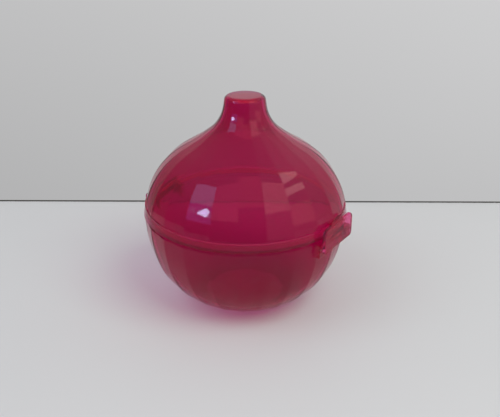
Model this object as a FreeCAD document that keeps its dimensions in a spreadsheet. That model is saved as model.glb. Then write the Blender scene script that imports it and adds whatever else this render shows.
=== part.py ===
import FreeCAD, Part

import math
import os

import Sketcher

# Onion keeper: two faceted mouldings, a bowl and a hinged lid, that close to the shape of an onion.
# Both are modelled about the seam, at height 0 on the axis, and are lifted onto the foot at the end.
# The latch faces -Y and the hinge +Y. Lengths are in millimetres and angles in degrees.

SIZES = (
    # Both mouldings
    ("facets", 24, "flat sides around each moulding"),
    ("wall", 2.0, "thickness of the moulded walls"),
    ("seat_gap", 0.1, "play between the lid's ledge and the upstand that it rests on"),
    ("rim_play", 0.3, "play between the upstand and the skirt of the lid around it"),
    # Lid: from the seam a dome arc leads up to the throat and the neck, which curve the other way
    ("lid_proud", 0.35, "how far the lid's flats stand outside the bowl's, at the seam"),
    ("lid_lean", 4.6, "how far the dome leans in at the seam"),
    ("dome_turn", 56.1, "turn of the dome's outline"),
    ("throat_arc", 92.0, "radius of the hollow above the dome"),
    ("throat_turn", 9.0, "turn of that hollow"),
    ("neck_arc", 19.2, "radius where the hollow runs into the stem"),
    ("neck_turn", 43.7, "turn of the neck's outline"),
    ("stem_flat", 10.5, "axis to the middle of a flat where the neck runs into the stem"),
    ("stem_height", 2.9, "straight stem between the neck and its rounded top edge"),
    ("stem_edge", 2.3, "rounding of the stem's top edge"),
    # Lid: round skirt at the seam
    ("lip_proud", 1.0, "how far the skirt's lower edge stands outside the bowl's flats"),
    ("skirt_draft", 0.75, "how much the skirt narrows towards its top"),
    ("skirt_height", 5.1, "height of the skirt"),
    ("skirt_wall", 1.2, "thickness of the skirt at its lower edge"),
    ("ledge", 1.5, "thickness of the ledge that joins the skirt to the wall"),
    ("lip_edge", 0.4, "bevel on the skirt's lower edge"),
    # Bowl: from the seam a slack arc leads down to the belly arc and the foot
    ("bowl_flat", 51.0, "axis to the middle of a flat, under the seam"),
    ("bowl_lean", 0.3, "how far the bowl leans in under the seam"),
    ("side_arc", 62.0, "radius of the bowl's upper outline"),
    ("side_turn", 21.1, "turn of the upper outline"),
    ("belly_turn", 50.5, "turn of the belly's outline"),
    ("seam_groove", 1.5, "open groove between the skirt and the bowl's shoulder"),
    ("upstand_draft", 0.2, "how much the upstand narrows towards its top"),
    ("upstand_root", 3.0, "depth of the upstand inside the bowl's wall"),
    ("upstand_edge", 0.3, "lead-in bevel on the upstand's top edge"),
    ("foot_radius", 21.2, "radius of the flat foot"),
    ("foot_margin", 0.4, "foot outside the corners that the facets end in"),
    ("foot_step", 0.5, "how far the foot stands below the belly"),
    ("floor_cover", 0.3, "floor above the end of the wall"),
    # Latch: a flat flap on the lid that snaps over a catch on the bowl
    ("flap_width", 28.0, "width of the flap"),
    ("flap_room", 0.7, "room between the skirt's lower edge and the flap"),
    ("flap_wall", 1.5, "thickness of the flap"),
    ("flap_top", 6.3, "top of the flap above the seam"),
    ("flap_drop", 6.3, "reach of the flap below the seam"),
    ("flap_shoulder", 3.0, "rounding of the flap's upper corners"),
    ("flap_corner", 2.0, "rounding of the flap's lower corners"),
    ("flap_edge", 0.6, "rounding around the flap's outer face"),
    ("bridge_width", 12.0, "width of the bridge that carries the flap"),
    ("bridge_wall", 2.0, "thickness of the bridge"),
    ("snap_bead", 0.25, "height of the bead inside the flap"),
    ("bead_width", 18.0, "length of the bead along the flap"),
    ("snap_width", 1.4, "width of the bead and of the ridge that it passes"),
    ("snap_play", 0.1, "play between the bead and the ridge as they pass"),
    ("ridge", 0.35, "height of the ridge on the catch"),
    ("catch_width", 30.0, "width of the catch"),
    ("catch_drop", 8.2, "reach of the catch below the seam"),
    ("catch_edge", 0.8, "rounding of the catch's lower edge"),
    # Hinge: a hook on the lid that is snapped over a bar between two lugs on the bowl
    ("bar_radius", 1.5, "hinge bar"),
    ("bar_play", 0.1, "play between the bar and the hook around it"),
    ("bar_depth", 3.0, "hinge axis below the seam"),
    ("hook_wall", 1.5, "thickness of the hook"),
    ("hook_width", 17.0, "length of the hook along the bar"),
    ("hook_clear", 0.2, "play between the hook and the skirt's radius, and at each end of the hook"),
    ("hook_mouth", 210.0, "direction of the inner edge of the hook's mouth"),
    ("open_angle", 110.0, "swing of the lid until the hook's heel meets the bowl"),
    ("heel_dip", 30.0, "direction, below level, in which the heel meets the bowl"),
    ("heel_tip", 10.0, "angle that the blunt tip of the heel takes up"),
    ("heel_back", 45.0, "angle from the heel's face to where its back runs onto the hook"),
    ("heel_play", 0.15, "play between the heel and the bowl at the end of the swing"),
    ("arm_height", 4.4, "top of the hook's arm on the skirt"),
    ("arm_upper", 70.0, "direction from the hinge axis in which the arm's top meets the hook"),
    ("arm_lower", 120.0, "direction in which the arm's underside meets the hook"),
    ("lug_wall", 3.0, "thickness of a lug"),
    ("lug_radius", 2.6, "rounded end of a lug"),
    ("lug_drop", 9.5, "root of a lug below the seam"),
    ("lug_slope", 50.0, "direction, below level, in which a lug's underside meets its rounded end"),
)

doc = FreeCAD.newDocument("onion_keeper")
sheet = doc.addObject("Spreadsheet::Sheet", "Sizes")
for row, (alias, size, meaning) in enumerate(SIZES, start=1):
    sheet.set(f"A{row}", meaning)
    sheet.set(f"B{row}", str(size))
    sheet.setAlias(f"B{row}", alias)
doc.recompute()

def flat_at(flat, lean, radius, rise):
    """How far a flat stands from the axis at a rise along the first arc of its outline."""
    turned = f"(sin({lean} * 1 deg) + {rise} / {radius})"
    return f"({flat} - {radius} * (cos({lean} * 1 deg) - sqrt(1 - {turned}^2)))"


def last_arc(across, spans):
    """The radius of an arc that makes up what the other arcs of an outline leave of its width.

    Each span is a radius, or None for the arc that is sought, and its first and last heading.
    """
    share = ""
    for radius, first, last in spans:
        span = f"abs(cos({first} * 1 deg) - cos({last} * 1 deg))"
        if radius:
            across += f" - {radius} * {span}"
        else:
            share = span
    return f"(({across}) / {share})"


# Sizes that follow from the driving ones, as expressions on the sheet
HALF_FACET = "(180 / Sizes.facets)"
CORNER = f"cos({HALF_FACET} * 1 deg)"
LID_FLAT = "(Sizes.bowl_flat + Sizes.lid_proud)"
DOME_END = "(Sizes.lid_lean + Sizes.dome_turn)"
THROAT_END = f"({DOME_END} - Sizes.throat_turn)"
NECK_END = f"({THROAT_END} - Sizes.neck_turn)"
DOME_ARC = last_arc(f"{LID_FLAT} - Sizes.stem_flat",
                    ((None, "Sizes.lid_lean", DOME_END), ("Sizes.throat_arc", DOME_END, THROAT_END),
                     ("Sizes.neck_arc", THROAT_END, NECK_END)))
FOOT_FLAT = f"((Sizes.foot_radius - Sizes.foot_margin) * {CORNER})"
SIDE_END = "(Sizes.bowl_lean + Sizes.side_turn)"
BELLY_END = f"({SIDE_END} + Sizes.belly_turn)"
BELLY_ARC = last_arc(f"Sizes.bowl_flat - {FOOT_FLAT}",
                     (("Sizes.side_arc", "Sizes.bowl_lean", SIDE_END), (None, SIDE_END, BELLY_END)))
LIP_RADIUS = "(Sizes.bowl_flat + Sizes.lip_proud)"
SKIRT_INSIDE = f"({LIP_RADIUS} - Sizes.skirt_wall)"
UPSTAND_OUTSIDE = f"({SKIRT_INSIDE} - Sizes.rim_play)"
UPSTAND_INSIDE = f"((Sizes.bowl_flat - Sizes.wall) / {CORNER})"
LEDGE_UNDER = "(Sizes.skirt_height - Sizes.ledge)"
UPSTAND_TOP = f"({LEDGE_UNDER} - Sizes.seat_gap)"
FLAP_INSIDE = f"({LIP_RADIUS} + Sizes.flap_room)"
BEAD_TOP = "(Sizes.flap_edge + Sizes.snap_width - Sizes.flap_drop)"
RIDGE_CREST = f"({FLAP_INSIDE} - Sizes.snap_bead - Sizes.snap_play)"
RIDGE_FOOT = f"({BEAD_TOP} + Sizes.snap_play)"
CATCH_FACE = f"({RIDGE_CREST} - Sizes.ridge)"
HOOK_OUTSIDE = "(Sizes.bar_radius + Sizes.bar_play + Sizes.hook_wall)"
HOOK_MIDDLE = "(Sizes.bar_radius + Sizes.bar_play + Sizes.hook_wall / 3)"
HINGE_REACH = f"({LIP_RADIUS} + {HOOK_OUTSIDE} + Sizes.hook_clear)"
# The heel meets a corner of the bowl's wall below the hinge axis, where the wall has begun to curve in
HEEL_DROP = f"(Sizes.bar_depth + ({HINGE_REACH} - Sizes.bowl_flat / {CORNER}) * tan(Sizes.heel_dip * 1 deg))"
HEEL_WALL = flat_at("Sizes.bowl_flat", "Sizes.bowl_lean", "Sizes.side_arc",
                    f"({HEEL_DROP} - Sizes.seam_groove)")
HEEL_RADIUS = f"(({HINGE_REACH} - {HEEL_WALL} / {CORNER} - Sizes.heel_play) / cos(Sizes.heel_dip * 1 deg))"
HEEL_FACE = "((180 + Sizes.heel_dip + Sizes.open_angle) * 1 deg)"


def value(expression):
    """The number that an expression on the sheet gives now."""
    result = sheet.evalExpression(expression)
    return float(getattr(result, "Value", result))


def minus(expression):
    return f"-({expression})"


class Run:
    """A smooth run of arcs, walked from a start point with a heading measured from upright.

    A leg is a radius, a turn and a bend: +1 bends towards the axis and -1 away from it, and
    0 is a straight leg of that length. rise is +1 for a run that climbs and -1 for one that
    goes down. inset moves the run inwards, at right angles, so that two runs bound a wall of
    even thickness.
    """

    def __init__(self, start, lean, legs, rise, inset="0"):
        self.rise = rise
        self.legs = []
        x, z = start
        heading = f"({lean} * 1 deg)"
        x = f"({x} - {inset} * cos({heading}))"
        z = f"({z} - {rise} * {inset} * sin({heading}))"
        for size, turn, bend in legs:
            if bend:
                size = f"({size} - {bend} * {inset})"
                onward = f"({heading} + {bend} * {turn} * 1 deg)"
                across = f"({bend} * {size} * (cos({onward}) - cos({heading})))"
                along = f"({bend} * {size} * (sin({onward}) - sin({heading})))"
            else:
                onward = heading
                across = f"(-{size} * sin({heading}))"
                along = f"({size} * cos({heading}))"
            self.legs.append((x, z, heading, onward, size, turn, bend))
            x = f"({x} + {across})"
            z = f"({z} + {rise} * {along})"
            heading = onward
        self.end = (x, z)
        self.heading = heading

    def draw(self, sketch, name):
        """Adds the run to a sketch and returns its first and last (edge, vertex)."""
        ends = []
        for number, leg in enumerate(self.legs):
            begin, finish = self.draw_leg(sketch, f"{name}_{number}", *leg)
            if ends:
                sketch.addConstraint(Sketcher.Constraint("Tangent", *ends[-1][1], *begin))
            ends.append((begin, finish))
        x, z, heading, _, radius, _, bend = self.legs[0]
        first = ends[0][0]
        bind(sketch, "DistanceX", f"{name}_start_x", x, -1, 1, *first)
        bind(sketch, "DistanceY", f"{name}_start_z", z, -1, 1, *first)
        lean = f"{bend * self.rise} * {radius} * sin({heading})"
        bind(sketch, "DistanceY", f"{name}_lean", lean, first[0], 3, *first)
        return first, ends[-1][1]

    def draw_leg(self, sketch, name, x, z, heading, onward, size, turn, bend):
        start = FreeCAD.Vector(value(x), value(z), 0)
        reach = value(size)
        first = math.radians(value(heading))
        last = math.radians(value(onward))
        if not bend:
            onto = start + reach * FreeCAD.Vector(-math.sin(first), self.rise * math.cos(first), 0)
            line = sketch.addGeometry(Part.LineSegment(start, onto))
            bind(sketch, "Distance", f"{name}_length", size, line)
            return (line, 1), (line, 2)
        centre = start - bend * reach * FreeCAD.Vector(math.cos(first), self.rise * math.sin(first), 0)
        angles = [self.rise * (angle if bend > 0 else angle + math.pi) for angle in (first, last)]
        circle = Part.Circle(centre, FreeCAD.Vector(0, 0, 1), reach)
        arc = sketch.addGeometry(Part.ArcOfCircle(circle, min(angles), max(angles)))
        bind(sketch, "Radius", f"{name}_radius", size, arc)
        bind(sketch, "Angle", f"{name}_turn", f"{turn} * 1 deg", arc)
        return ((arc, 1), (arc, 2)) if angles[1] > angles[0] else ((arc, 2), (arc, 1))


def bind(sketch, kind, name, expression, *where):
    """Adds a dimension to a sketch and binds it to the sheet."""
    size = value(expression)
    if kind == "Angle":
        size = math.radians(size)
    index = sketch.addConstraint(Sketcher.Constraint(kind, *where, size))
    sketch.renameConstraint(index, name)
    sketch.setExpression(f"Constraints.{name}", expression)


def new_sketch(body, name, plane, turn=None, offset=None):
    """A sketch on one of the body's own planes, turned about its upright or set off along its normal."""
    sketch = body.newObject("Sketcher::SketchObject", name)
    support = next(item for item in body.Origin.OriginFeatures if item.Role == plane)
    sketch.AttachmentSupport = (support, [""])
    sketch.MapMode = "FlatFace"
    if turn:
        axis = FreeCAD.Vector(0, 1, 0) if plane == "XZ_Plane" else FreeCAD.Vector(0, 0, 1)
        sketch.AttachmentOffset = FreeCAD.Placement(FreeCAD.Vector(), FreeCAD.Rotation(axis, 1))
        sketch.setExpression("AttachmentOffset.Rotation.Angle", turn)
    if offset:
        sketch.setExpression("AttachmentOffset.Base.z", offset)
    return sketch


def join(sketch, first, second):
    sketch.addConstraint(Sketcher.Constraint("Coincident", *first, *second))


def link(sketch, first, second):
    """A straight line between two vertices that are held in place already."""
    line = sketch.addGeometry(Part.LineSegment(sketch.getPoint(*first), sketch.getPoint(*second)))
    join(sketch, first, (line, 1))
    join(sketch, second, (line, 2))


def close_on_axis(sketch, vertex):
    """A level line from a vertex to the upright axis; returns its end there."""
    point = sketch.getPoint(*vertex)
    line = sketch.addGeometry(Part.LineSegment(point, FreeCAD.Vector(0, point.y, 0)))
    join(sketch, vertex, (line, 1))
    sketch.addConstraint(Sketcher.Constraint("Horizontal", line))
    sketch.addConstraint(Sketcher.Constraint("PointOnObject", line, 2, -2))
    return line, 2


def draw_outline(sketch, corners):
    """A closed outline of straight lines through corners given as pairs of expressions."""
    points = [FreeCAD.Vector(value(x), value(y), 0) for x, y in corners]
    lines = [sketch.addGeometry(Part.LineSegment(point, points[(number + 1) % len(points)]))
             for number, point in enumerate(points)]
    for number, line in enumerate(lines):
        join(sketch, (line, 2), (lines[(number + 1) % len(lines)], 1))
        x, y = corners[number]
        bind_place(sketch, "DistanceX", f"corner_{number}_x", x, line, 1)
        bind_place(sketch, "DistanceY", f"corner_{number}_y", y, line, 1)


def bind_place(sketch, kind, name, expression, edge, vertex):
    """Binds one coordinate of a vertex, or puts the vertex on the sketch's own axis where it is 0."""
    if expression == "0":
        axis = -2 if kind == "DistanceX" else -1
        sketch.addConstraint(Sketcher.Constraint("PointOnObject", edge, vertex, axis))
    else:
        bind(sketch, kind, name, expression, -1, 1, edge, vertex)


def draw_seat(sketch, inner, half, face):
    """A plan that starts on an arc inside the wall and ends in a straight face towards -Y."""
    radius = value(inner)
    reach = value(half)
    turn = math.asin(reach / radius)
    circle = Part.Circle(FreeCAD.Vector(), FreeCAD.Vector(0, 0, 1), radius)
    arc = sketch.addGeometry(Part.ArcOfCircle(circle, -math.pi / 2 - turn, -math.pi / 2 + turn))
    start, end = sketch.getPoint(arc, 1), sketch.getPoint(arc, 2)
    right = FreeCAD.Vector(reach, -value(face), 0)
    left = FreeCAD.Vector(-reach, -value(face), 0)
    ends = ((end, right), (right, left), (left, start))
    sides = [sketch.addGeometry(Part.LineSegment(*pair)) for pair in ends]
    join(sketch, (arc, 3), (-1, 1))
    join(sketch, (arc, 2), (sides[0], 1))
    join(sketch, (sides[0], 2), (sides[1], 1))
    join(sketch, (sides[1], 2), (sides[2], 1))
    join(sketch, (sides[2], 2), (arc, 1))
    sketch.addConstraint(Sketcher.Constraint("Vertical", sides[0]))
    sketch.addConstraint(Sketcher.Constraint("Vertical", sides[2]))
    sketch.addConstraint(Sketcher.Constraint("Horizontal", sides[1]))
    bind(sketch, "Radius", "inner", inner, arc)
    bind(sketch, "DistanceX", "right", half, -1, 1, sides[0], 2)
    bind(sketch, "DistanceX", "left", minus(half), -1, 1, sides[2], 1)
    bind(sketch, "DistanceY", "face", minus(face), -1, 1, sides[0], 2)


def draw_circle(sketch, x, y, radius):
    centre = FreeCAD.Vector(value(x), value(y), 0)
    circle = sketch.addGeometry(Part.Circle(centre, FreeCAD.Vector(0, 0, 1), value(radius)))
    bind(sketch, "Radius", "radius", radius, circle)
    bind_place(sketch, "DistanceX", "centre_x", x, circle, 3)
    bind_place(sketch, "DistanceY", "centre_y", y, circle, 3)


def feature(body, kind, name, sketch, **settings):
    """A feature made from a sketch, checked to change the body's volume."""
    before = body.Tip.Shape.Volume if body.Tip else 0.0
    item = body.newObject(f"PartDesign::{kind}", name)
    item.Profile = sketch
    for key, setting in settings.items():
        if isinstance(setting, str) and "Sizes." in setting:
            item.setExpression(key, setting)
        else:
            setattr(item, key, setting)
    doc.recompute()
    after = item.Shape.Volume
    grows = kind in ("Pad", "Revolution")
    if abs(after - before) < 0.01 or (after > before) != grows:
        raise ValueError(f"{name} changes the volume from {before:.2f} to {after:.2f}")
    return item


def whole_turn(sketch):
    return {"ReferenceAxis": (sketch, ["V_Axis"]), "Angle": 360.0}


def repeat_around(body, name):
    """Repeats the whole body around the axis, once for each facet."""
    pattern = body.newObject("PartDesign::PolarPattern", name)
    upright = next(item for item in body.Origin.OriginFeatures if item.Role == "Z_Axis")
    pattern.TransformMode = "Whole shape"
    pattern.Axis = (upright, [""])
    pattern.Angle = 360.0
    pattern.setExpression("Occurrences", "Sizes.facets")
    body.Tip = pattern
    doc.recompute()
    return pattern


def gore(body, outer, inner, closes=False):
    """One gore of a faceted wall: its section, carried straight across and mitred, then repeated.

    Where the wall closes at the axis, the section is led there from the ends of both runs.
    """
    section = new_sketch(body, f"{body.Name}_section", "XZ_Plane", turn=HALF_FACET)
    outer_first, outer_last = outer.draw(section, "outer")
    inner_first, inner_last = inner.draw(section, "inner")
    link(section, outer_first, inner_first)
    if closes:
        top = close_on_axis(section, outer_last)
        ceiling = close_on_axis(section, inner_last)
        link(section, top, ceiling)
    else:
        link(section, outer_last, inner_last)
    across = f"2.5 * {LIP_RADIUS} * tan({HALF_FACET} * 1 deg)"
    feature(body, "Pad", f"{body.Name}_slab", section, Length=across, SideType="Symmetric")
    mitre = new_sketch(body, f"{body.Name}_mitre", "XY_Plane", turn=HALF_FACET)
    far = f"(1.5 * {LIP_RADIUS})"
    near = f"({far} * tan({HALF_FACET} * 1 deg))"
    draw_outline(mitre, (("0", "0"), (far, near), (far, far), (minus(far), far),
                         (minus(far), minus(far)), (far, minus(far)), (far, minus(near))))
    feature(body, "Pocket", f"{body.Name}_gore", mitre, Type="ThroughAll", SideType="Symmetric")
    return repeat_around(body, f"{body.Name}_gores")


def edge_nearest(shape, point):
    """The name of the edge whose middle lies nearest to a point."""
    def distance(edge):
        middle = edge.valueAt((edge.FirstParameter + edge.LastParameter) / 2)
        return middle.distanceToPoint(point)
    edges = shape.Edges
    return f"Edge{min(range(len(edges)), key=lambda number: distance(edges[number])) + 1}"


def round_edges(body, name, edges, radius):
    """A fillet on named edges of the body's tip."""
    base = body.Tip
    item = body.newObject("PartDesign::Fillet", name)
    item.Base = (base, edges)
    item.setExpression("Radius", radius)
    body.Tip = item
    doc.recompute()
    return item


def polar(direction, radius):
    """A point about the hinge axis, in the YZ plane, at a direction given in degrees or as an angle."""
    y = f"({HINGE_REACH} + {radius} * cos({direction}))"
    z = f"({radius} * sin({direction}) - Sizes.bar_depth)"
    return y, z


def make_lid():
    body = doc.addObject("PartDesign::Body", "lid")
    start = (LID_FLAT, "Sizes.lip_edge")
    lean = "Sizes.lid_lean"
    legs = ((DOME_ARC, "Sizes.dome_turn", 1),
            ("Sizes.throat_arc", "Sizes.throat_turn", -1),
            ("Sizes.neck_arc", "Sizes.neck_turn", -1))
    neck = Run(start, lean, legs, 1)
    neck_inside = Run(start, lean, legs, 1, "Sizes.wall")
    # The stem goes on straight, is rounded over into its flat top, and has an even wall there too
    upright = f"((90 deg - {neck.heading}) / 1 deg)"
    outer = Run(start, lean, legs + (("Sizes.stem_height", "0", 0), ("Sizes.stem_edge", upright, 1)), 1)
    ceiling = f"(({outer.end[1]} - Sizes.wall - {neck_inside.end[1]}) / cos({neck.heading}))"
    inner = Run(start, lean, legs + ((ceiling, "0", 0),), 1, "Sizes.wall")
    gore(body, outer, inner, closes=True)

    # The skirt's round band covers the lower ends of the facets, and a ledge joins it to the wall
    band = new_sketch(body, "lid_band", "XZ_Plane")
    top = "Sizes.skirt_height"
    wall_there = flat_at(LID_FLAT, lean, DOME_ARC, f"({top} - {start[1]})")
    ledge_root = f"({wall_there} - Sizes.wall / 2)"
    draw_outline(band, ((SKIRT_INSIDE, "0"), (f"({LIP_RADIUS} - Sizes.lip_edge)", "0"),
                        (LIP_RADIUS, "Sizes.lip_edge"), (f"({LIP_RADIUS} - Sizes.skirt_draft)", top),
                        (ledge_root, top), (ledge_root, LEDGE_UNDER), (SKIRT_INSIDE, LEDGE_UNDER)))
    feature(body, "Revolution", "lid_skirt", band, **whole_turn(band))

    # Latch flap: a bridge from the lid's wall, and a flat plate that hangs from it in front of the rim
    bridge_rise = f"(Sizes.flap_top - Sizes.bridge_wall / 2 - {start[1]})"
    bridge_root = f"({flat_at(LID_FLAT, lean, DOME_ARC, bridge_rise)} - Sizes.wall / 2)"
    bridge = new_sketch(body, "bridge_plan", "XY_Plane", offset="(Sizes.flap_top - Sizes.bridge_wall)")
    draw_seat(bridge, bridge_root, "(Sizes.bridge_width / 2)", f"({FLAP_INSIDE} + Sizes.flap_wall / 2)")
    feature(body, "Pad", "bridge", bridge, Length="Sizes.bridge_wall")
    plate = new_sketch(body, "flap_face", "XZ_Plane", offset=FLAP_INSIDE)
    half = "(Sizes.flap_width / 2)"
    lower = "-(Sizes.flap_drop)"
    draw_outline(plate, ((minus(half), lower), (half, lower), (half, "Sizes.flap_top"),
                         (minus(half), "Sizes.flap_top")))
    feature(body, "Pad", "flap", plate, Length="Sizes.flap_wall")
    round_flap(body)

    # A bead along the foot of the plate snaps under the ridge of the catch
    bead = new_sketch(body, "bead_section", "YZ_Plane")
    middle = f"({FLAP_INSIDE} + Sizes.flap_wall / 2)"
    crest = f"({FLAP_INSIDE} - Sizes.snap_bead)"
    foot = f"({BEAD_TOP} - Sizes.snap_width)"
    corners = ((middle, foot), (FLAP_INSIDE, foot), (crest, f"({BEAD_TOP} - Sizes.snap_width / 2)"),
               (FLAP_INSIDE, BEAD_TOP), (middle, BEAD_TOP))
    draw_outline(bead, [(minus(x), z) for x, z in corners])
    feature(body, "Pad", "bead", bead, Length="Sizes.bead_width", SideType="Symmetric")

    # Hinge hook: an arm from the skirt to a ring around the bar, with a mouth and a heel that stops the swing
    hinge = (HINGE_REACH, minus("Sizes.bar_depth"))
    width = {"Length": "Sizes.hook_width", "SideType": "Symmetric"}
    ring = new_sketch(body, "hook_ring", "YZ_Plane")
    draw_circle(ring, *hinge, HOOK_OUTSIDE)
    feature(body, "Pad", "hook", ring, **width)
    heel = new_sketch(body, "hook_heel", "YZ_Plane")
    tip = f"({HEEL_FACE} + Sizes.heel_tip * 1 deg)"
    back = f"({HEEL_FACE} + Sizes.heel_back * 1 deg)"
    draw_outline(heel, (hinge, polar(HEEL_FACE, HEEL_RADIUS), polar(tip, HEEL_RADIUS),
                        polar(back, HOOK_OUTSIDE)))
    feature(body, "Pad", "heel", heel, **width)
    arm = new_sketch(body, "hook_arm", "YZ_Plane")
    within = f"({SKIRT_INSIDE} - Sizes.skirt_wall)"
    top_meets = "Sizes.arm_upper * 1 deg"
    draw_outline(arm, ((within, "Sizes.seat_gap"), polar("Sizes.arm_lower * 1 deg", HOOK_MIDDLE),
                       polar(top_meets, HOOK_MIDDLE), polar(top_meets, HOOK_OUTSIDE),
                       (LIP_RADIUS, "Sizes.arm_height"), (within, "Sizes.arm_height")))
    feature(body, "Pad", "arm", arm, **width)
    bore = new_sketch(body, "hook_bore", "YZ_Plane")
    draw_circle(bore, *hinge, "(Sizes.bar_radius + Sizes.bar_play)")
    feature(body, "Pocket", "bore", bore, Type="ThroughAll", SideType="Symmetric")
    mouth = new_sketch(body, "hook_mouth", "YZ_Plane")
    reach = f"(2 * {HEEL_RADIUS})"
    middle = f"(({HEEL_FACE} + Sizes.hook_mouth * 1 deg) / 2)"
    draw_outline(mouth, (hinge, polar("Sizes.hook_mouth * 1 deg", reach), polar(middle, reach),
                         polar(HEEL_FACE, reach)))
    feature(body, "Pocket", "mouth", mouth, Type="ThroughAll", SideType="Symmetric")

    # The room for the upstand inside the skirt, under the ledge that rests on it
    room = new_sketch(body, "skirt_room", "XZ_Plane")
    below = minus("Sizes.bar_depth")
    clear = f"({wall_there} - Sizes.wall - Sizes.rim_play)"
    draw_outline(room, ((clear, below), (SKIRT_INSIDE, below), (SKIRT_INSIDE, LEDGE_UNDER),
                        (clear, LEDGE_UNDER)))
    feature(body, "Groove", "room", room, **whole_turn(room))
    return body


def round_flap(body):
    """Rounds the four corners of the flap and then the edge all around its outer face."""
    half = value("Sizes.flap_width / 2")
    middle = value(f"{FLAP_INSIDE} + Sizes.flap_wall / 2")
    for name, height, radius in (("flap_lower_corners", "-(Sizes.flap_drop)", "Sizes.flap_corner"),
                                 ("flap_upper_corners", "Sizes.flap_top", "Sizes.flap_shoulder")):
        points = [FreeCAD.Vector(side * half, -middle, value(height)) for side in (-1, 1)]
        round_edges(body, name, [edge_nearest(body.Tip.Shape, point) for point in points], radius)
    rim = FreeCAD.Vector(0, -value(f"{FLAP_INSIDE} + Sizes.flap_wall"), -value("Sizes.flap_drop"))
    round_edges(body, "flap_rim", [edge_nearest(body.Tip.Shape, rim)], "Sizes.flap_edge")


def make_bowl():
    body = doc.addObject("PartDesign::Body", "bowl")
    legs = (("Sizes.side_arc", "Sizes.side_turn", 1), (BELLY_ARC, "Sizes.belly_turn", 1))
    start = ("Sizes.bowl_flat", "-(Sizes.seam_groove)")
    outer = Run(start, "Sizes.bowl_lean", legs, -1)
    inner = Run(start, "Sizes.bowl_lean", legs, -1, "Sizes.wall")
    gore(body, outer, inner)

    # Floor and foot: a flat disc in which the facets end
    under = f"({outer.end[1]} - Sizes.foot_step)"
    floor_top = f"({inner.end[1]} + Sizes.floor_cover)"
    disc = new_sketch(body, "floor_section", "XZ_Plane")
    draw_outline(disc, (("0", under), ("Sizes.foot_radius", under), ("Sizes.foot_radius", floor_top),
                        ("0", floor_top)))
    feature(body, "Revolution", "floor", disc, **whole_turn(disc))

    # Upstand: a round ring that rises out of the wall and stands inside the skirt of the lid
    ring = new_sketch(body, "upstand_section", "XZ_Plane")
    narrow = f"({UPSTAND_OUTSIDE} - Sizes.upstand_draft)"
    root = "-(Sizes.seam_groove + Sizes.upstand_root)"
    edge = "Sizes.upstand_edge"
    draw_outline(ring, ((UPSTAND_INSIDE, root), (UPSTAND_OUTSIDE, root), (UPSTAND_OUTSIDE, start[1]),
                        (narrow, f"({UPSTAND_TOP} - {edge})"), (f"({narrow} - {edge})", UPSTAND_TOP),
                        (UPSTAND_INSIDE, UPSTAND_TOP)))
    feature(body, "Revolution", "upstand", ring, **whole_turn(ring))

    # Catch: a block under the flap, with a ridge across its flat face, just above the flap's bead
    block = new_sketch(body, "catch_plan", "XY_Plane", offset="-(Sizes.catch_drop)")
    side_there = flat_at("Sizes.bowl_flat", "Sizes.bowl_lean", "Sizes.side_arc",
                         "(Sizes.catch_drop - Sizes.seam_groove)")
    draw_seat(block, f"({side_there} - Sizes.wall / 4)", "(Sizes.catch_width / 2)", CATCH_FACE)
    feature(body, "Pad", "catch", block, Length="(Sizes.catch_drop - Sizes.seam_groove)")
    lower = FreeCAD.Vector(0, -value(CATCH_FACE), -value("Sizes.catch_drop"))
    round_edges(body, "catch_lower_edge", [edge_nearest(body.Tip.Shape, lower)], "Sizes.catch_edge")
    ridge = new_sketch(body, "ridge_section", "YZ_Plane")
    in_catch = f"({CATCH_FACE} - Sizes.ridge)"
    ridge_top = f"({RIDGE_FOOT} + Sizes.snap_width)"
    corners = ((in_catch, ridge_top), (CATCH_FACE, ridge_top),
               (RIDGE_CREST, f"({RIDGE_FOOT} + Sizes.snap_width / 2)"), (CATCH_FACE, RIDGE_FOOT),
               (in_catch, RIDGE_FOOT))
    draw_outline(ridge, [(minus(x), z) for x, z in corners])
    feature(body, "Pad", "ridge", ridge, Length="Sizes.catch_width", SideType="Symmetric")

    # Hinge: two lugs with rounded ends, and the bar between them
    hinge = (HINGE_REACH, minus("Sizes.bar_depth"))
    away = "(Sizes.hook_width / 2 + Sizes.hook_clear)"
    web = new_sketch(body, "lug_web", "YZ_Plane", offset=away)
    side_there = flat_at("Sizes.bowl_flat", "Sizes.bowl_lean", "Sizes.side_arc",
                         "(Sizes.lug_drop - Sizes.seam_groove)")
    off_centre = f"(({away} + Sizes.lug_wall) * sin({HALF_FACET} * 1 deg))"
    in_wall = f"(({side_there} - {off_centre}) / {CORNER} - Sizes.wall / 4)"
    draw_outline(web, ((in_wall, f"({start[1]} - Sizes.seat_gap)"), polar("90 deg", "Sizes.lug_radius"),
                       hinge, polar("-(Sizes.lug_slope * 1 deg)", "Sizes.lug_radius"),
                       (in_wall, "-(Sizes.lug_drop)")))
    first = feature(body, "Pad", "lug", web, Length="Sizes.lug_wall", Type="Length")
    eye = new_sketch(body, "lug_eye", "YZ_Plane", offset=away)
    draw_circle(eye, *hinge, "Sizes.lug_radius")
    second = feature(body, "Pad", "lug_end", eye, Length="Sizes.lug_wall", Type="Length")
    mirror = body.newObject("PartDesign::Mirrored", "lugs")
    mirror.Originals = [first, second]
    mirror.MirrorPlane = (next(item for item in body.Origin.OriginFeatures if item.Role == "YZ_Plane"), [""])
    body.Tip = mirror
    doc.recompute()
    bar = new_sketch(body, "bar_section", "YZ_Plane")
    draw_circle(bar, *hinge, "Sizes.bar_radius")
    feature(body, "Pad", "bar", bar, Length=f"2 * {away} + Sizes.lug_wall", SideType="Symmetric")
    return body, under


lid = make_lid()
bowl, foot_level = make_bowl()
for moulding in (lid, bowl):
    moulding.setExpression("Placement.Base.z", minus(foot_level))
doc.recompute()

for item in doc.Objects:
    if "Invalid" in item.State or "Error" in item.State:
        raise ValueError(f"{item.Name} is in state {item.State}")

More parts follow.
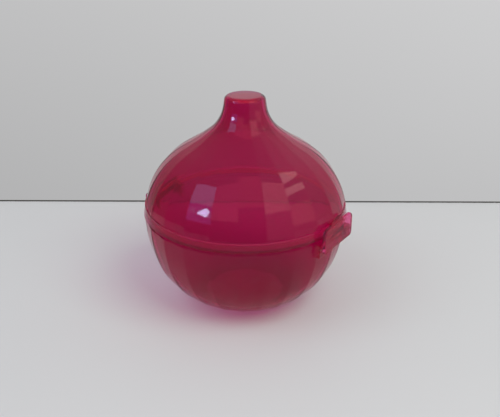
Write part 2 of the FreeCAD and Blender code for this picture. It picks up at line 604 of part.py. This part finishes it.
os.makedirs("parts", exist_ok=True)
for moulding in (lid, bowl):
    shape = moulding.Shape
    if shape.isNull() or not shape.isValid() or len(shape.Solids) != 1:
        raise ValueError(f"{moulding.Label} is not one valid solid")
    shape.exportStep(f"parts/{moulding.Label}.step")
    print(moulding.Label, round(shape.Volume), "mm3", shape.BoundBox)
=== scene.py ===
import math

import bmesh
import bpy
from mathutils import Matrix, Vector


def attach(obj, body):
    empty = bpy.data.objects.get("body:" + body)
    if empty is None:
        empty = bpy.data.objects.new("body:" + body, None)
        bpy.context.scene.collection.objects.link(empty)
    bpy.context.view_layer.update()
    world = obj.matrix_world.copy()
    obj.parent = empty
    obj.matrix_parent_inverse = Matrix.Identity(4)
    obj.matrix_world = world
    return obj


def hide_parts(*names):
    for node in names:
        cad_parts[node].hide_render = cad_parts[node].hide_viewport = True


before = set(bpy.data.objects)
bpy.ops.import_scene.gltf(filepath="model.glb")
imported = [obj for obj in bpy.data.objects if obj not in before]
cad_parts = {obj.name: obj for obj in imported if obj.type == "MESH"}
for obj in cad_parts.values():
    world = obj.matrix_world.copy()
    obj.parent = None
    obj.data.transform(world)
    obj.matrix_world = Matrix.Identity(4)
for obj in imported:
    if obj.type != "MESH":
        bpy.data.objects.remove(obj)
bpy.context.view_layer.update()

# The mouldings, in metres: the flats around each, the seam's height, and where the parts that differ in
# tint begin. Their levels are measured from the middle of the band of painted shade just under the seam,
# and their depths along Y, where the latch faces -Y.
FACETS = 24
SEAM = 0.04894
SEAM_SHADE_BAND = 0.0007
UPSTAND_LEVEL = 0.0008
UPSTAND_FADE = 0.0003
FLAP_DEPTH = -0.0522
CATCH_DEPTH = -0.0512
DEPTH_FADE = 0.0004
NOWHERE = 1.0

# What both plastics have in common
# Painted shade: the dark tint laid on the seam's rims and on the bowl's catch
PAINTED_SHADE_TINT = (0.50, 0.0, 0.13, 1.0)
SHADE_TINT = (0.86, 0.965, 0.985, 1.0)
ABSORBED_TINT = (0.985, 0.78, 0.88, 1.0)
ABSORBED_DENSITY = 1000.0
BODY_IOR = 1.10
SKIN_IOR = 1.5
SKIN = 0.45
FLAP_SKIN_SHARE = 0.4


def put(tree, socket, term):
    """Links a socket to another one, or gives it a plain value."""
    if isinstance(term, bpy.types.NodeSocket):
        tree.links.new(term, socket)
    else:
        socket.default_value = term


def node(tree, kind, **inputs):
    """A shader node with its inputs given by name; spaces in the names are written as _."""
    made = tree.nodes.new(kind)
    for name, term in inputs.items():
        put(tree, made.inputs[name.replace("_", " ")], term)
    return made


def calculate(tree, operation, *terms, kind="ShaderNodeMath", result="Value"):
    """The result of a math node over sockets and plain numbers."""
    made = tree.nodes.new(kind)
    made.operation = operation
    for socket, term in zip(made.inputs, terms):
        put(tree, socket, term)
    return made.outputs[result]


def graded(tree, value, start, end, low=0.0, high=1.0, curve="LINEAR"):
    """A number that goes from low to high while a value goes from start to end."""
    made = node(tree, "ShaderNodeMapRange", Value=value, From_Min=start, From_Max=end, To_Min=low,
                To_Max=high)
    made.interpolation_type = curve
    return made.outputs["Result"]


def blend(tree, factor, first, second, kind="RGBA"):
    """A mix of two colours, or with the kind FLOAT of two numbers."""
    made = tree.nodes.new("ShaderNodeMix")
    made.data_type = kind
    from_first, from_second, result = {"FLOAT": (2, 3, 0), "RGBA": (6, 7, 2)}[kind]
    put(tree, made.inputs["Factor"], factor)
    put(tree, made.inputs[from_first], first)
    put(tree, made.inputs[from_second], second)
    return made.outputs[result]


def new_material(name):
    """A material and its node tree, still with the nodes that every new material has."""
    material = bpy.data.materials.new(name)
    material.use_nodes = True
    return material, material.node_tree


def moulded_finish():
    """Polished mould finish: faint flow waves, dulled smudges and hairline scratches."""
    group = bpy.data.node_groups.new("moulded_finish", "ShaderNodeTree")
    group.interface.new_socket("Vector", in_out="INPUT", socket_type="NodeSocketVector")
    for label, amount in (("Gloss", 0.09), ("Smudge", 0.06), ("Scratch", 0.5)):
        socket = group.interface.new_socket(label, in_out="INPUT", socket_type="NodeSocketFloat")
        socket.default_value = amount
    for label in ("Roughness", "Height", "Tone"):
        group.interface.new_socket(label, in_out="OUTPUT", socket_type="NodeSocketFloat")
    given = group.nodes.new("NodeGroupInput").outputs
    place = given["Vector"]
    waves = node(group, "ShaderNodeTexNoise", Vector=place, Scale=38.0, Detail=2.0, Roughness=0.45)
    smudges = node(group, "ShaderNodeTexNoise", Vector=place, Scale=55.0, Detail=5.0, Roughness=0.62)
    tone = node(group, "ShaderNodeTexNoise", Vector=place, Scale=24.0, Detail=3.0, Roughness=0.5)

    # Hairline scratches: thin bands of a stretched, bent noise
    stretched = node(group, "ShaderNodeMapping", Vector=place, Rotation=(0.4, 0.9, 0.3),
                     Scale=(900.0, 30.0, 60.0))
    hairs = node(group, "ShaderNodeTexNoise", Vector=stretched.outputs["Vector"], Scale=1.0, Detail=1.0,
                 Distortion=0.4)
    thin = graded(group, hairs.outputs["Fac"], 0.70, 0.76)
    scratch = calculate(group, "MULTIPLY", thin, given["Scratch"])

    worn = graded(group, smudges.outputs["Fac"], 0.42, 0.78)
    dull = calculate(group, "MULTIPLY_ADD", worn, given["Smudge"], given["Gloss"])
    node(group, "NodeGroupOutput",
         Roughness=calculate(group, "MULTIPLY_ADD", scratch, 0.10, dull),
         Height=calculate(group, "MULTIPLY_ADD", scratch, -0.06, waves.outputs["Fac"]),
         Tone=tone.outputs["Fac"])
    return group


FINISH = moulded_finish()


def tinted_plastic(name, light, deep, thin, upstand_level, flap_depth, catch_depth):
    """Clear tinted plastic: tint drifts from light to deep, with painted shade at the seam and catch; paler
    in upstand and flap.
    """
    material, tree = new_material(name)
    tree.nodes.clear()
    place = tree.nodes.new("ShaderNodeTexCoord").outputs
    finish = tree.nodes.new("ShaderNodeGroup")
    finish.node_tree = FINISH
    put(tree, finish.inputs["Vector"], place["Object"])
    tint = blend(tree, finish.outputs["Tone"], light, deep)
    from_band = calculate(tree, "SUBTRACT", place["Object"], (0.0, 0.0, SEAM - SEAM_SHADE_BAND / 2.0),
                          kind="ShaderNodeVectorMath", result="Vector")
    apart = node(tree, "ShaderNodeSeparateXYZ", Vector=from_band)
    depth, level = apart.outputs["Y"], apart.outputs["Z"]

    # Painted shade: the two rims that meet at the seam are darkened from outside, where they carry light
    # along themselves and the gap between them lies in shade, and so is the bowl's solid catch behind the
    # latch's flap
    rim = graded(tree, calculate(tree, "ABSOLUTE", level), SEAM_SHADE_BAND, SEAM_SHADE_BAND / 2.0)
    outward = calculate(tree, "DOT_PRODUCT", from_band, place["Normal"], kind="ShaderNodeVectorMath")
    seam_shade = calculate(tree, "MULTIPLY", rim, calculate(tree, "GREATER_THAN", outward, 0.0))
    catch = graded(tree, depth, catch_depth, catch_depth - DEPTH_FADE)
    with_painted_shade = blend(tree, calculate(tree, "MAXIMUM", seam_shade, catch), tint, PAINTED_SHADE_TINT)

    # The latch's flap and the bowl's upstand are thinner than the walls and let more light through
    upstand = graded(tree, level, upstand_level, upstand_level + UPSTAND_FADE)
    flap = graded(tree, depth, flap_depth, flap_depth - DEPTH_FADE)
    colour = blend(tree, calculate(tree, "MAXIMUM", flap, upstand), with_painted_shade, thin)

    # The body bends light a little, and the polished skin over it mirrors as plastic does, from outside
    # only and less on the flap
    inside = tree.nodes.new("ShaderNodeNewGeometry").outputs["Backfacing"]
    skin = calculate(tree, "MULTIPLY_ADD", inside, -SKIN, SKIN)
    mirror = calculate(tree, "MULTIPLY", skin, graded(tree, flap, 0.0, 1.0, 1.0, FLAP_SKIN_SHARE))
    bump = node(tree, "ShaderNodeBump", Strength=0.12, Distance=0.0004, Height=finish.outputs["Height"])
    plastic = node(tree, "ShaderNodeBsdfPrincipled", Base_Color=colour, Metallic=0.0, IOR=BODY_IOR,
                   Roughness=finish.outputs["Roughness"], Normal=bump.outputs["Normal"],
                   Transmission_Weight=0.97, Coat_Weight=mirror, Coat_IOR=SKIN_IOR, Coat_Roughness=0.02)
    absorbed = node(tree, "ShaderNodeVolumeAbsorption", Color=ABSORBED_TINT, Density=ABSORBED_DENSITY)

    # Light reaches the table through the walls as a coloured shade
    shade = node(tree, "ShaderNodeBsdfTransparent", Color=SHADE_TINT)
    path = tree.nodes.new("ShaderNodeLightPath")
    surface = node(tree, "ShaderNodeMixShader", Fac=path.outputs["Is Shadow Ray"])
    put(tree, surface.inputs[1], plastic.outputs["BSDF"])
    put(tree, surface.inputs[2], shade.outputs["BSDF"])
    node(tree, "ShaderNodeOutputMaterial", Surface=surface.outputs["Shader"],
         Volume=absorbed.outputs["Volume"])
    return material


def facet_of(face):
    """Which facet of the wall a face belongs to, by its direction from the axis; None inside the wall."""
    middle = face.calc_center_median()
    if middle.xy.dot(face.normal.xy) < 0.0:
        return None
    return int(math.atan2(middle.y, middle.x) % math.tau / math.tau * FACETS)


def moulding(name, source, body, material):
    """The CAD node's own mesh, merged, crisp where two outer facets meet and smooth elsewhere."""
    copied = bmesh.new()
    copied.from_mesh(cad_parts[source].data)
    bmesh.ops.remove_doubles(copied, verts=copied.verts, dist=1e-6)
    for face in copied.faces:
        face.smooth = True
    for edge in copied.edges:
        first, second = edge.link_faces
        turn = first.normal.angle(second.normal, 0.0)
        across = facet_of(first) != facet_of(second) and turn > math.radians(2.0)
        edge.smooth = not (across or turn > math.radians(24.0))
    mesh = bpy.data.meshes.new(name)
    copied.to_mesh(mesh)
    copied.free()
    mesh.materials.append(material)
    piece = bpy.data.objects.new(name, mesh)
    bpy.context.scene.collection.objects.link(piece)
    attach(piece, body)
    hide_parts(source)


moulding("keeper_bowl", "bowl", "bowl",
         tinted_plastic("raspberry_bowl", (0.67, 0.05, 0.325, 1.0), (0.61, 0.035, 0.27, 1.0),
                        (0.99, 0.13, 0.60, 1.0), UPSTAND_LEVEL, -NOWHERE, CATCH_DEPTH))
moulding("keeper_lid", "lid", "lid",
         tinted_plastic("raspberry_lid", (0.735, 0.07, 0.36, 1.0), (0.675, 0.05, 0.305, 1.0),
                        (0.92, 0.25, 0.50, 1.0), NOWHERE, FLAP_DEPTH, -NOWHERE))

# Stage: a pale table that ends at a thin dark strip of painted shadow at its joint, square to the camera;
# the wall behind is the world
TURN = Matrix.Rotation(math.radians(-56.5), 4, "Z")
REACH = 1.5
BACK = 0.120
BACK_SLANT = 0.008
JOINT_HEIGHT = 0.0010
JOINT_GLOW_THROUGH_PLASTIC = 0.28


def painted(name, light, shaded, roughness):
    """A plain paint whose tone drifts slowly between two values."""
    material, tree = new_material(name)
    place = tree.nodes.new("ShaderNodeTexCoord")
    drift = node(tree, "ShaderNodeTexNoise", Vector=place.outputs["Object"], Scale=7.0, Detail=3.0)
    matte = tree.nodes["Principled BSDF"].inputs
    put(tree, matte["Base Color"], blend(tree, drift.outputs["Fac"], light, shaded))
    put(tree, matte["Roughness"], roughness)
    put(tree, matte["Specular IOR Level"], 0.2)
    return material


def panel(name, corners, material):
    """A flat stage piece through corners given square to the camera."""
    sheet = bmesh.new()
    bmesh.ops.contextual_create(sheet, geom=[sheet.verts.new(TURN @ Vector(corner)) for corner in corners])
    mesh = bpy.data.meshes.new(name)
    sheet.to_mesh(mesh)
    sheet.free()
    mesh.materials.append(material)
    piece = bpy.data.objects.new(name, mesh)
    bpy.context.scene.collection.objects.link(piece)
    return piece


far_left = (-REACH, BACK + REACH * BACK_SLANT)
far_right = (REACH, BACK - REACH * BACK_SLANT)
panel("table", ((-REACH, -REACH, 0.0), (REACH, -REACH, 0.0), (*far_right, 0.0), (*far_left, 0.0)),
      painted("table_top", (0.65, 0.665, 0.665, 1.0), (0.63, 0.645, 0.645, 1.0), 0.55))
# Painted shadow: a dark sheet standing up at the table's back edge
joint = painted("joint_shadow", (0.08, 0.08, 0.07, 1.0), (0.07, 0.07, 0.06, 1.0), 0.9)
panel("table_joint", ((*far_left, 0.0), (*far_right, 0.0), (*far_right, JOINT_HEIGHT),
                      (*far_left, JOINT_HEIGHT)), joint)

# Painted light: the joint glows white where it is seen through the plastic, so it looks soft there
joint_tree = joint.node_tree
joint_paint = joint_tree.nodes["Principled BSDF"].inputs
through = joint_tree.nodes.new("ShaderNodeLightPath").outputs["Is Transmission Ray"]
put(joint_tree, joint_paint["Emission Color"], (1.0, 1.0, 1.0, 1.0))
put(joint_tree, joint_paint["Emission Strength"],
    calculate(joint_tree, "MULTIPLY", through, JOINT_GLOW_THROUGH_PLASTIC))

# Light: soft lamps that give the shade on the table, and glowing panes that are mirrored in the plastic
MIDDLE = Vector((0.0, 0.0, 0.06))
LAMP_DISTANCE = 1.4
LAMP_SIZE = 0.9


def around(azimuth, elevation, distance):
    """A place around the object; azimuth 0 lies towards the camera and 90 on its right."""
    azimuth, elevation = math.radians(azimuth), math.radians(elevation)
    level = distance * math.cos(elevation)
    return MIDDLE + Vector((level * math.sin(azimuth), -level * math.cos(azimuth),
                            distance * math.sin(elevation)))


def softbox(name, azimuth, elevation, radiance, colour):
    """A square lamp that faces the object, as bright as its radiance, and shows in no mirror image."""
    data = bpy.data.lights.new(name, "AREA")
    data.shape = "RECTANGLE"
    data.size = LAMP_SIZE
    data.size_y = LAMP_SIZE
    data.energy = radiance * math.pi * LAMP_SIZE * LAMP_SIZE
    data.color = colour
    lamp = bpy.data.objects.new(name, data)
    place = TURN @ around(azimuth, elevation, LAMP_DISTANCE)
    facing = (MIDDLE - place).to_track_quat("-Z", "Y")
    lamp.matrix_world = Matrix.Translation(place) @ facing.to_matrix().to_4x4()
    lamp.visible_glossy = False
    lamp.visible_transmission = False
    bpy.context.scene.collection.objects.link(lamp)


def pane(name, corners, radiance, colour, distance=1.0):
    """A glowing pane that only shows in mirror images; its corners are azimuths and elevations."""
    material, tree = new_material(name)
    tree.nodes.clear()
    glow = node(tree, "ShaderNodeEmission", Color=(*colour, 1.0), Strength=radiance)
    node(tree, "ShaderNodeOutputMaterial", Surface=glow.outputs["Emission"])
    piece = panel(name, [around(*corner, distance) for corner in corners], material)
    piece.visible_camera = False
    piece.visible_diffuse = False
    piece.visible_transmission = False
    piece.visible_shadow = False


# A curtained window high on the left with its bright gap, and cream panes on the right
pane("window_upper", ((-73, 46), (-73, 52), (-66, 52), (-56, 38), (-56, 31), (-63, 31)),
     3.6, (0.42, 0.55, 1.0))
pane("window_lower", ((-63, 31), (-56, 31), (-49, 16), (-49, 11), (-57, 11)), 2.4, (0.42, 0.28, 1.0))
pane("curtain_gap", ((-55.6, 28.4), (-54.5, 20.4), (-52.9, 18.2), (-54.2, 25.2)),
     36.0, (0.50, 0.60, 1.0), 0.94)
pane("cream_upper", ((105.7, 55.7), (102.5, 51.6), (99.7, 51.1), (84.4, 46.4)), 4.6, (1.0, 0.72, 0.68))
pane("cream_lower", ((80.9, 43.1), (88.4, 44.8), (81.8, 39.0), (75.0, 35.7)), 4.4, (1.0, 0.70, 0.66))

# Pink hangings between them, each mirrored in one of the front facets
pane("hanging_left", ((-50, 76), (-12, 78), (-18, 20), (-31, 20)), 2.1, (1.0, 0.32, 0.42))
pane("hanging_middle", ((-11, 80), (30, 80), (19, 39), (-1, 39)), 2.1, (1.0, 0.32, 0.36))
pane("hanging_right", ((31, 79), (82, 77), (60, 58), (51, 29), (32, 26)), 3.3, (1.0, 0.50, 0.50))
pane("hanging_far", ((60, 25), (74, 27), (72, 3), (60, 5)), 2.2, (1.0, 0.52, 0.50))

softbox("softbox_left", -62, 48, 1.6, (0.80, 0.82, 1.0))
softbox("softbox_right", 46, 50, 4.5, (1.0, 0.975, 0.94))

EVEN_LIGHT = 0.46
FRONT_GLOW = 0.45


def soft_room():
    """A pale room that matte surfaces get evenly, and that the camera and mirrored rays see in tones."""
    world = bpy.data.worlds.new("soft_room")
    world.use_nodes = True
    tree = world.node_tree
    place = tree.nodes.new("ShaderNodeTexCoord")
    square = node(tree, "ShaderNodeVectorRotate", Vector=place.outputs["Generated"],
                  Angle=-TURN.to_euler().z)
    square.rotation_type = "Z_AXIS"
    apart = node(tree, "ShaderNodeSeparateXYZ", Vector=square.outputs["Vector"])
    right, back, up = apart.outputs["X"], apart.outputs["Y"], apart.outputs["Z"]

    # The wall behind grows lighter upwards and to the right; the rest of the room is an even glow, and
    # only its mirror image shows how dim the part behind the camera is
    wall = calculate(tree, "ADD", graded(tree, right, -1.0, 1.0, 0.48, 0.736),
                     graded(tree, up, -1.0, 1.0, -0.308, 0.308))
    mirrored = calculate(tree, "ADD", graded(tree, right, 0.10, 0.60, 0.17, 0.60, "SMOOTHSTEP"),
                         graded(tree, up, 0.0, 0.90, 0.0, 0.30, "SMOOTHSTEP"))
    path = tree.nodes.new("ShaderNodeLightPath").outputs
    room = blend(tree, path["Is Glossy Ray"], FRONT_GLOW, mirrored, "FLOAT")
    tones = blend(tree, graded(tree, back, 0.60, 0.94, curve="SMOOTHSTEP"), room, wall, "FLOAT")
    seen = calculate(tree, "MAXIMUM", path["Is Camera Ray"], path["Is Glossy Ray"])
    seen = calculate(tree, "MAXIMUM", seen, path["Is Transmission Ray"])
    sky = tree.nodes["Background"].inputs
    put(tree, sky["Color"], (1.0, 1.0, 1.01, 1.0))
    put(tree, sky["Strength"], blend(tree, seen, EVEN_LIGHT, tones, "FLOAT"))
    return world


bpy.context.scene.world = soft_room()

# Camera: above the object and looking down at it
CAMERA_PITCH = 23.99
CAMERA_PLACE = (0.00243, -0.3315, 0.147 + SEAM)

camera_data = bpy.data.cameras.new("camera")
camera_data.sensor_width = 36.0
camera_data.lens = 50.4
camera_data.clip_start = 0.01
camera = bpy.data.objects.new("camera", camera_data)
bpy.context.scene.collection.objects.link(camera)
looking_down = Matrix.Rotation(math.radians(90.0 - CAMERA_PITCH), 4, "X")
camera.matrix_world = TURN @ Matrix.Translation(CAMERA_PLACE) @ looking_down
bpy.context.scene.camera = camera
bpy.context.scene.view_settings.view_transform = "Standard"
